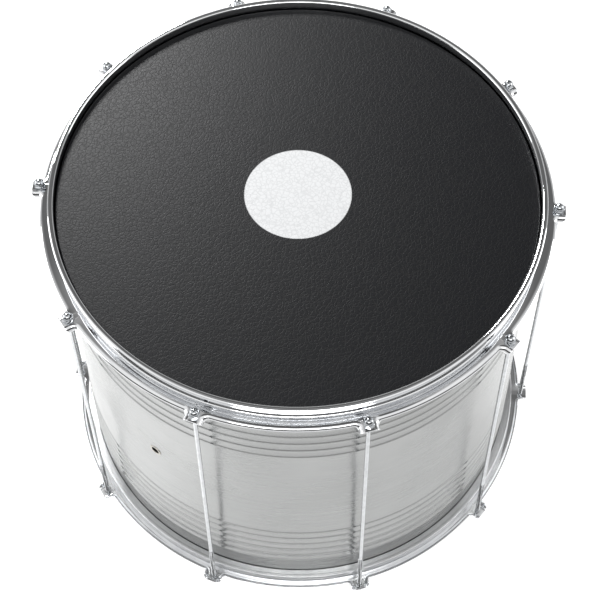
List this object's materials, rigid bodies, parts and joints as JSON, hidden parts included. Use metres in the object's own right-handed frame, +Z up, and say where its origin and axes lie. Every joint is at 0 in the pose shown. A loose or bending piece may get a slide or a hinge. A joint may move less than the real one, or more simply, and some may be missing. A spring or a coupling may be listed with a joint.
{
  "type": "surdo",
  "caption": "Large two-headed samba bass drum: ribbed aluminium shell, leather-look heads, pressed chrome hoops with ears, and tension rods with cap nuts.",
  "frame": {"origin": "on the drum's axis, on the floor that the lower hoop's rim stands on", "axes": "+Z up along the drum's axis; +X through the first lug"},
  "size_m": [0.679, 0.655, 0.537],
  "materials": {
    "shell_aluminium": "brushed",
    "flesh_hoop_aluminium": "drawn",
    "hoop_chrome": "polished",
    "rod_chrome": "polished",
    "nut_chrome": "polished",
    "eyelet_nickel": "nickelled",
    "head_leather": "fine grain"
  },
  "bodies": {
    "bottom_hoop": {"bottom_hoop": "hoop_chrome"},
    "drum": {"shell": "shell_aluminium", "vent_eyelet": "eyelet_nickel", "top_head": "head_leather", "top_flesh_hoop": "flesh_hoop_aluminium", "bottom_head": "head_leather", "bottom_flesh_hoop": "flesh_hoop_aluminium", "tension_rod_01": "rod_chrome", "tension_rod_02": "rod_chrome", "tension_rod_03": "rod_chrome", "tension_rod_04": "rod_chrome", "tension_rod_05": "rod_chrome", "tension_rod_06": "rod_chrome", "tension_rod_07": "rod_chrome", "tension_rod_08": "rod_chrome", "tension_rod_09": "rod_chrome", "tension_rod_10": "rod_chrome"},
    "top_hoop": {"top_hoop": "hoop_chrome"},
    "top_nut_01": {"top_nut_01": "nut_chrome"},
    "bottom_nut_01": {"bottom_nut_01": "nut_chrome"},
    "top_nut_02": {"top_nut_02": "nut_chrome"},
    "bottom_nut_02": {"bottom_nut_02": "nut_chrome"},
    "top_nut_03": {"top_nut_03": "nut_chrome"},
    "bottom_nut_03": {"bottom_nut_03": "nut_chrome"},
    "top_nut_04": {"top_nut_04": "nut_chrome"},
    "bottom_nut_04": {"bottom_nut_04": "nut_chrome"},
    "top_nut_05": {"top_nut_05": "nut_chrome"},
    "bottom_nut_05": {"bottom_nut_05": "nut_chrome"},
    "top_nut_06": {"top_nut_06": "nut_chrome"},
    "bottom_nut_06": {"bottom_nut_06": "nut_chrome"},
    "top_nut_07": {"top_nut_07": "nut_chrome"},
    "bottom_nut_07": {"bottom_nut_07": "nut_chrome"},
    "top_nut_08": {"top_nut_08": "nut_chrome"},
    "bottom_nut_08": {"bottom_nut_08": "nut_chrome"},
    "top_nut_09": {"top_nut_09": "nut_chrome"},
    "bottom_nut_09": {"bottom_nut_09": "nut_chrome"},
    "top_nut_10": {"top_nut_10": "nut_chrome"},
    "bottom_nut_10": {"bottom_nut_10": "nut_chrome"}
  },
  "joints": [
    {"name": "bottom_hoop_travel", "type": "slide", "parent": "bottom_hoop", "child": "drum", "axis": [0, 0, 1], "range_m": [0, 0.00762]},
    {"name": "top_hoop_travel", "type": "slide", "parent": "drum", "child": "top_hoop", "axis": [0, 0, 1], "range_m": [0, 0.00762]},
    {"name": "top_nut_01_turn", "type": "hinge", "parent": "top_hoop", "child": "top_nut_01", "pos_m": [0.3305, 0, 0.5138], "axis": [0, 0, 1], "range_deg": [0, 2160]},
    {"name": "bottom_nut_01_turn", "type": "hinge", "parent": "bottom_hoop", "child": "bottom_nut_01", "pos_m": [0.3305, 0, 0.0232], "axis": [0, 0, -1], "range_deg": [0, 2160]},
    {"name": "top_nut_02_turn", "type": "hinge", "parent": "top_hoop", "child": "top_nut_02", "pos_m": [0.26738, 0.19426, 0.5138], "axis": [0, 0, 1], "range_deg": [0, 2160]},
    {"name": "bottom_nut_02_turn", "type": "hinge", "parent": "bottom_hoop", "child": "bottom_nut_02", "pos_m": [0.26738, 0.19426, 0.0232], "axis": [0, 0, -1], "range_deg": [0, 2160]},
    {"name": "top_nut_03_turn", "type": "hinge", "parent": "top_hoop", "child": "top_nut_03", "pos_m": [0.10213, 0.31432, 0.5138], "axis": [0, 0, 1], "range_deg": [0, 2160]},
    {"name": "bottom_nut_03_turn", "type": "hinge", "parent": "bottom_hoop", "child": "bottom_nut_03", "pos_m": [0.10213, 0.31432, 0.0232], "axis": [0, 0, -1], "range_deg": [0, 2160]},
    {"name": "top_nut_04_turn", "type": "hinge", "parent": "top_hoop", "child": "top_nut_04", "pos_m": [-0.10213, 0.31432, 0.5138], "axis": [0, 0, 1], "range_deg": [0, 2160]},
    {"name": "bottom_nut_04_turn", "type": "hinge", "parent": "bottom_hoop", "child": "bottom_nut_04", "pos_m": [-0.10213, 0.31432, 0.0232], "axis": [0, 0, -1], "range_deg": [0, 2160]},
    {"name": "top_nut_05_turn", "type": "hinge", "parent": "top_hoop", "child": "top_nut_05", "pos_m": [-0.26738, 0.19426, 0.5138], "axis": [0, 0, 1], "range_deg": [0, 2160]},
    {"name": "bottom_nut_05_turn", "type": "hinge", "parent": "bottom_hoop", "child": "bottom_nut_05", "pos_m": [-0.26738, 0.19426, 0.0232], "axis": [0, 0, -1], "range_deg": [0, 2160]},
    {"name": "top_nut_06_turn", "type": "hinge", "parent": "top_hoop", "child": "top_nut_06", "pos_m": [-0.3305, 0, 0.5138], "axis": [0, 0, 1], "range_deg": [0, 2160]},
    {"name": "bottom_nut_06_turn", "type": "hinge", "parent": "bottom_hoop", "child": "bottom_nut_06", "pos_m": [-0.3305, 0, 0.0232], "axis": [0, 0, -1], "range_deg": [0, 2160]},
    {"name": "top_nut_07_turn", "type": "hinge", "parent": "top_hoop", "child": "top_nut_07", "pos_m": [-0.26738, -0.19426, 0.5138], "axis": [0, 0, 1], "range_deg": [0, 2160]},
    {"name": "bottom_nut_07_turn", "type": "hinge", "parent": "bottom_hoop", "child": "bottom_nut_07", "pos_m": [-0.26738, -0.19426, 0.0232], "axis": [0, 0, -1], "range_deg": [0, 2160]},
    {"name": "top_nut_08_turn", "type": "hinge", "parent": "top_hoop", "child": "top_nut_08", "pos_m": [-0.10213, -0.31432, 0.5138], "axis": [0, 0, 1], "range_deg": [0, 2160]},
    {"name": "bottom_nut_08_turn", "type": "hinge", "parent": "bottom_hoop", "child": "bottom_nut_08", "pos_m": [-0.10213, -0.31432, 0.0232], "axis": [0, 0, -1], "range_deg": [0, 2160]},
    {"name": "top_nut_09_turn", "type": "hinge", "parent": "top_hoop", "child": "top_nut_09", "pos_m": [0.10213, -0.31432, 0.5138], "axis": [0, 0, 1], "range_deg": [0, 2160]},
    {"name": "bottom_nut_09_turn", "type": "hinge", "parent": "bottom_hoop", "child": "bottom_nut_09", "pos_m": [0.10213, -0.31432, 0.0232], "axis": [0, 0, -1], "range_deg": [0, 2160]},
    {"name": "top_nut_10_turn", "type": "hinge", "parent": "top_hoop", "child": "top_nut_10", "pos_m": [0.26738, -0.19426, 0.5138], "axis": [0, 0, 1], "range_deg": [0, 2160]},
    {"name": "bottom_nut_10_turn", "type": "hinge", "parent": "bottom_hoop", "child": "bottom_nut_10", "pos_m": [0.26738, -0.19426, 0.0232], "axis": [0, 0, -1], "range_deg": [0, 2160]}
  ],
  "couplings": [
    {"joint": "top_nut_01_turn", "follows": "top_hoop_travel", "rad_per_m": 4947.4},
    {"joint": "bottom_nut_01_turn", "follows": "bottom_hoop_travel", "rad_per_m": 4947.4},
    {"joint": "top_nut_02_turn", "follows": "top_hoop_travel", "rad_per_m": 4947.4},
    {"joint": "bottom_nut_02_turn", "follows": "bottom_hoop_travel", "rad_per_m": 4947.4},
    {"joint": "top_nut_03_turn", "follows": "top_hoop_travel", "rad_per_m": 4947.4},
    {"joint": "bottom_nut_03_turn", "follows": "bottom_hoop_travel", "rad_per_m": 4947.4},
    {"joint": "top_nut_04_turn", "follows": "top_hoop_travel", "rad_per_m": 4947.4},
    {"joint": "bottom_nut_04_turn", "follows": "bottom_hoop_travel", "rad_per_m": 4947.4},
    {"joint": "top_nut_05_turn", "follows": "top_hoop_travel", "rad_per_m": 4947.4},
    {"joint": "bottom_nut_05_turn", "follows": "bottom_hoop_travel", "rad_per_m": 4947.4},
    {"joint": "top_nut_06_turn", "follows": "top_hoop_travel", "rad_per_m": 4947.4},
    {"joint": "bottom_nut_06_turn", "follows": "bottom_hoop_travel", "rad_per_m": 4947.4},
    {"joint": "top_nut_07_turn", "follows": "top_hoop_travel", "rad_per_m": 4947.4},
    {"joint": "bottom_nut_07_turn", "follows": "bottom_hoop_travel", "rad_per_m": 4947.4},
    {"joint": "top_nut_08_turn", "follows": "top_hoop_travel", "rad_per_m": 4947.4},
    {"joint": "bottom_nut_08_turn", "follows": "bottom_hoop_travel", "rad_per_m": 4947.4},
    {"joint": "top_nut_09_turn", "follows": "top_hoop_travel", "rad_per_m": 4947.4},
    {"joint": "bottom_nut_09_turn", "follows": "bottom_hoop_travel", "rad_per_m": 4947.4},
    {"joint": "top_nut_10_turn", "follows": "top_hoop_travel", "rad_per_m": 4947.4},
    {"joint": "bottom_nut_10_turn", "follows": "bottom_hoop_travel", "rad_per_m": 4947.4}
  ]
}
